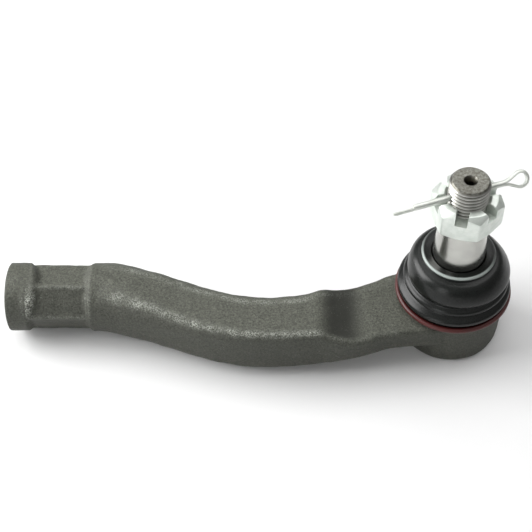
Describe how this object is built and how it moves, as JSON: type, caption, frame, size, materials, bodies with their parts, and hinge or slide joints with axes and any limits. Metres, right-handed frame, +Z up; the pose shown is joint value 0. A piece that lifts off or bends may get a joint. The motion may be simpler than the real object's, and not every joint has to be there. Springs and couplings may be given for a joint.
{
  "type": "tie rod end",
  "caption": "Outer tie rod end: forged bent arm with a threaded socket and a booted ball joint whose tapered stud carries a castle nut and cotter pin.",
  "frame": {"origin": "centre of the ball", "axes": "+Z up the stud at rest, the threaded socket lies towards -X, the arm bows towards -Y"},
  "size_m": [0.184, 0.0464, 0.0779],
  "materials": {
    "forged_steel": "shot-blasted and phosphated forging, dull grey",
    "bearing_plastic": "moulded acetal",
    "spring_steel": "plain spring steel",
    "cap_steel": "black phosphated plate",
    "seal_rubber": "matte",
    "stud_steel": "ground and rolled steel",
    "boot_rubber": "satin moulded rubber",
    "ring_red": "dark red coated wire",
    "nut_zinc": "clear-passivated zinc plate",
    "pin_zinc": "zinc-plated soft steel"
  },
  "bodies": {
    "housing": {"forged_body": "forged_steel", "upper_bearing": "bearing_plastic", "lower_bearing": "bearing_plastic", "preload_spring": "spring_steel", "end_cap": "cap_steel", "cap_seal": "seal_rubber", "boot_skirt": "boot_rubber", "boot_base_ring": "ring_red"},
    "boot_mid": {"boot_bellows": "boot_rubber"},
    "boot_top": {"boot_neck": "boot_rubber", "boot_neck_insert": "spring_steel"},
    "stud": {"ball_stud": "stud_steel"},
    "nut": {"castle_nut": "nut_zinc"},
    "pin": {"cotter_pin": "pin_zinc"}
  },
  "joints": [
    {"name": "swing_side", "type": "hinge", "parent": "housing", "child": "boot_mid", "pos_m": [0, 0, 0], "axis": [1, 0, 0], "range_deg": [-18, 18], "deforming": ["boot_bellows"]},
    {"name": "swing_along", "type": "hinge", "parent": "boot_mid", "child": "boot_top", "pos_m": [0, 0, 0], "axis": [0, 1, 0], "range_deg": [-18, 18]},
    {"name": "stud_spin", "type": "hinge", "parent": "boot_top", "child": "stud", "pos_m": [0, 0, 0], "axis": [0, 0, 1], "continuous": true},
    {"name": "nut_play", "type": "hinge", "parent": "stud", "child": "nut", "pos_m": [0, 0, 0.0495], "axis": [0, 0, 1], "range_deg": [-1, 7]},
    {"name": "pin_pull", "type": "slide", "parent": "stud", "child": "pin", "axis": [0.9522, 0.3002, 0.0558], "range_m": [0, 0.04]}
  ]
}
